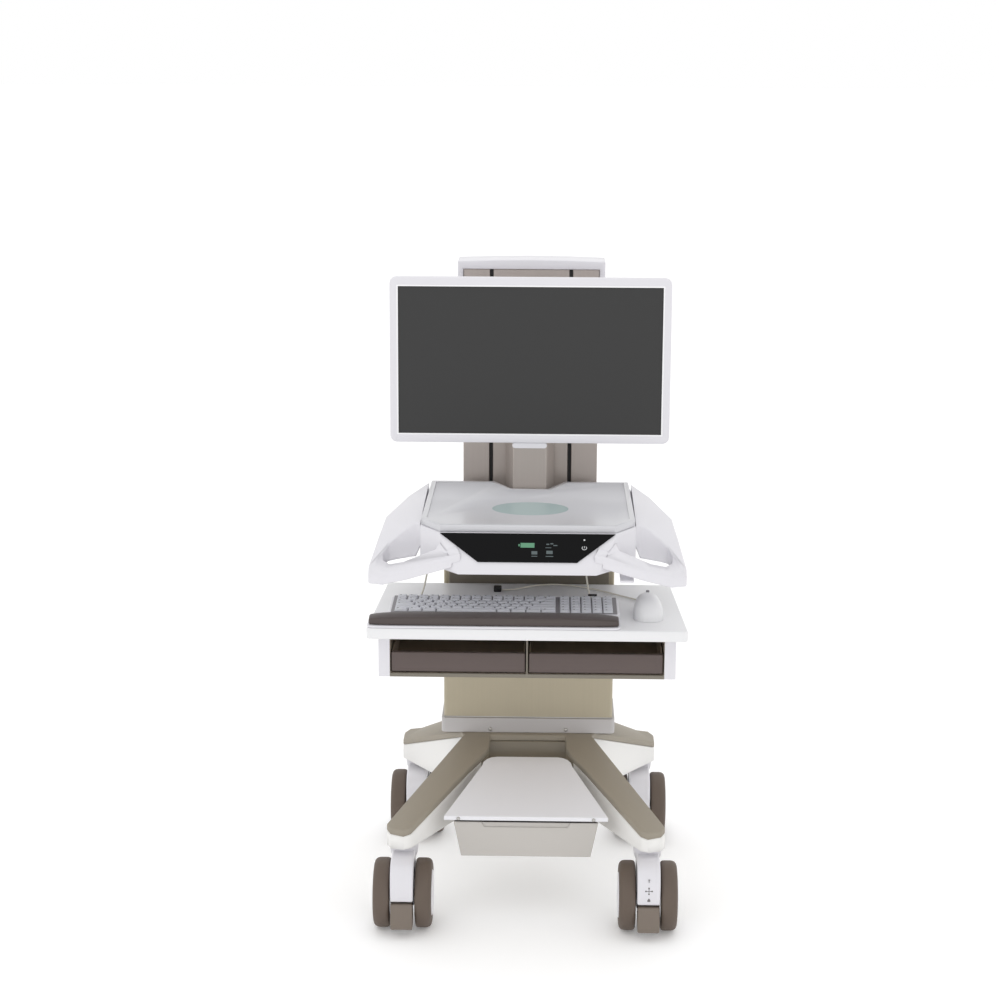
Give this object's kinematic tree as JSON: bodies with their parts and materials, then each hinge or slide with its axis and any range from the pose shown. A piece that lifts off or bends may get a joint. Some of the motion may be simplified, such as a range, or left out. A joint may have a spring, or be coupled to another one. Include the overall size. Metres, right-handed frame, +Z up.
{
  "type": "medication cart",
  "caption": "Height-adjustable wheeled workstation with a display, worksurface with side grips, keyboard tray, drawers and a base bin.",
  "frame": {"origin": "on the floor under the middle of the cart's overall footprint", "axes": "+Z up, the user stands at -Y, +X is the user's right"},
  "size_m": [0.559, 0.6212, 1.165],
  "materials": {
    "white_plastic": "satin moulded plastic",
    "taupe_plastic": "fine textured plastic",
    "tyre": "matt rubber",
    "steel": "zinc plated",
    "column_metal": "brushed and anodised",
    "mast_metal": "brushed and anodised",
    "grey_plastic": "satin",
    "bin_plastic": "fine grain",
    "black_gloss": "gloss",
    "dark_plastic": "matt",
    "clear_plastic": "clear over white",
    "drawer_front": "brushed",
    "screen": "anti-glare",
    "key_plastic": "matt",
    "wrist_foam": "soft matt",
    "cord_plastic": "satin"
  },
  "bodies": {
    "base": {"base_frame": "white_plastic", "base_cover": "taupe_plastic", "column_collar": "grey_plastic", "column_outer": "column_metal", "bin_lid": "white_plastic", "bin_rails": "steel"},
    "bin": {"storage_bin": "bin_plastic"},
    "middle_stage": {"column_middle": "column_metal"},
    "head": {"column_mast": "mast_metal", "mast_cap": "white_plastic", "mast_slot_seal_left": "dark_plastic", "mast_slot_seal_right": "dark_plastic", "display_post": "mast_metal", "head_shell": "white_plastic", "worksurface": "clear_plastic", "control_panel": "black_gloss", "head_bracket": "grey_plastic", "handle_left": "white_plastic", "handle_right": "white_plastic", "drawer_cabinet": "grey_plastic"},
    "lever": {"lift_lever": "white_plastic"},
    "drawer_left": {"drawer_front_left": "drawer_front", "drawer_box_left": "bin_plastic"},
    "drawer_right": {"drawer_front_right": "drawer_front", "drawer_box_right": "bin_plastic"},
    "tray": {"keyboard_tray": "white_plastic", "keyboard_case": "white_plastic", "keyboard_keys": "key_plastic", "wrist_plate": "white_plastic", "wrist_rest": "wrist_foam", "mouse": "white_plastic", "mouse_cord": "cord_plastic", "usb_connector": "dark_plastic", "keyboard_cord_left": "cord_plastic", "keyboard_cord_right": "cord_plastic"},
    "display_carriage": {"display_yoke": "grey_plastic"},
    "display": {"monitor_bezel": "white_plastic", "monitor_back": "white_plastic", "monitor_screen": "screen", "monitor_tab": "white_plastic"},
    "swivel_front_left": {"caster_fork_front_left": "white_plastic"},
    "wheels_front_left": {"caster_hub_front_left": "white_plastic", "caster_tyre_inner_front_left": "tyre", "caster_tyre_outer_front_left": "tyre"},
    "pedal_front_left": {"caster_pedal_front_left": "taupe_plastic"},
    "swivel_front_right": {"caster_fork_front_right": "white_plastic"},
    "wheels_front_right": {"caster_hub_front_right": "white_plastic", "caster_tyre_inner_front_right": "tyre", "caster_tyre_outer_front_right": "tyre"},
    "pedal_front_right": {"caster_pedal_front_right": "taupe_plastic"},
    "swivel_rear_left": {"caster_fork_rear_left": "white_plastic"},
    "wheels_rear_left": {"caster_hub_rear_left": "white_plastic", "caster_tyre_inner_rear_left": "tyre", "caster_tyre_outer_rear_left": "tyre"},
    "pedal_rear_left": {"caster_pedal_rear_left": "taupe_plastic"},
    "swivel_rear_right": {"caster_fork_rear_right": "white_plastic"},
    "wheels_rear_right": {"caster_hub_rear_right": "white_plastic", "caster_tyre_inner_rear_right": "tyre", "caster_tyre_outer_rear_right": "tyre"},
    "pedal_rear_right": {"caster_pedal_rear_right": "taupe_plastic"}
  },
  "joints": [
    {"name": "lift", "type": "slide", "parent": "base", "child": "head", "axis": [0, 0, 1], "range_m": [0, 0.39]},
    {"name": "lift_middle", "type": "slide", "parent": "base", "child": "middle_stage", "axis": [0, 0, 1], "range_m": [0, 0.195]},
    {"name": "bin_slide", "type": "slide", "parent": "base", "child": "bin", "axis": [0, -0.9654, -0.2607], "range_m": [0, 0.13]},
    {"name": "lift_lever_squeeze", "type": "hinge", "parent": "head", "child": "lever", "pos_m": [0.172, -0.197, 0.67105], "axis": [1, 0, 0], "range_deg": [-3, 0], "stiffness_Nm_per_rad": 1, "springref_deg": 5.73},
    {"name": "drawer_left_slide", "type": "slide", "parent": "head", "child": "drawer_left", "axis": [0, -1, 0], "range_m": [0, 0.2]},
    {"name": "drawer_right_slide", "type": "slide", "parent": "head", "child": "drawer_right", "axis": [0, -1, 0], "range_m": [0, 0.2]},
    {"name": "tray_slide", "type": "slide", "parent": "head", "child": "tray", "axis": [0, -1, 0], "range_m": [0, 0.1]},
    {"name": "display_height", "type": "slide", "parent": "head", "child": "display_carriage", "axis": [0, 0, 1], "range_m": [-0.05, 0.08]},
    {"name": "display_tilt", "type": "hinge", "parent": "display_carriage", "child": "display", "pos_m": [0, 0.02, 1.00075], "axis": [1, 0, 0], "range_deg": [-15, 5]},
    {"name": "swivel_front_left", "type": "hinge", "parent": "base", "child": "swivel_front_left", "pos_m": [-0.22, -0.207, 0.0625], "axis": [0, 0, 1], "continuous": true},
    {"name": "roll_front_left", "type": "hinge", "parent": "swivel_front_left", "child": "wheels_front_left", "pos_m": [-0.22, -0.237, 0.0625], "axis": [1, 0, 0], "continuous": true},
    {"name": "pedal_front_left", "type": "hinge", "parent": "swivel_front_left", "child": "pedal_front_left", "pos_m": [-0.22, -0.279, 0.07], "axis": [1, 0, 0], "range_deg": [-6, 6]},
    {"name": "swivel_front_right", "type": "hinge", "parent": "base", "child": "swivel_front_right", "pos_m": [0.22, -0.207, 0.0625], "axis": [0, 0, 1], "continuous": true},
    {"name": "roll_front_right", "type": "hinge", "parent": "swivel_front_right", "child": "wheels_front_right", "pos_m": [0.22, -0.237, 0.0625], "axis": [1, 0, 0], "continuous": true},
    {"name": "pedal_front_right", "type": "hinge", "parent": "swivel_front_right", "child": "pedal_front_right", "pos_m": [0.22, -0.279, 0.07], "axis": [1, 0, 0], "range_deg": [-6, 6]},
    {"name": "swivel_rear_left", "type": "hinge", "parent": "base", "child": "swivel_rear_left", "pos_m": [-0.22, 0.263, 0.0625], "axis": [0, 0, 1], "continuous": true},
    {"name": "roll_rear_left", "type": "hinge", "parent": "swivel_rear_left", "child": "wheels_rear_left", "pos_m": [-0.22, 0.233, 0.0625], "axis": [1, 0, 0], "continuous": true},
    {"name": "pedal_rear_left", "type": "hinge", "parent": "swivel_rear_left", "child": "pedal_rear_left", "pos_m": [-0.22, 0.191, 0.07], "axis": [1, 0, 0], "range_deg": [-6, 6]},
    {"name": "swivel_rear_right", "type": "hinge", "parent": "base", "child": "swivel_rear_right", "pos_m": [0.22, 0.263, 0.0625], "axis": [0, 0, 1], "continuous": true},
    {"name": "roll_rear_right", "type": "hinge", "parent": "swivel_rear_right", "child": "wheels_rear_right", "pos_m": [0.22, 0.233, 0.0625], "axis": [1, 0, 0], "continuous": true},
    {"name": "pedal_rear_right", "type": "hinge", "parent": "swivel_rear_right", "child": "pedal_rear_right", "pos_m": [0.22, 0.191, 0.07], "axis": [1, 0, 0], "range_deg": [-6, 6]}
  ],
  "couplings": [
    {"joint": "lift_middle", "follows": "lift", "ratio": 0.5}
  ]
}
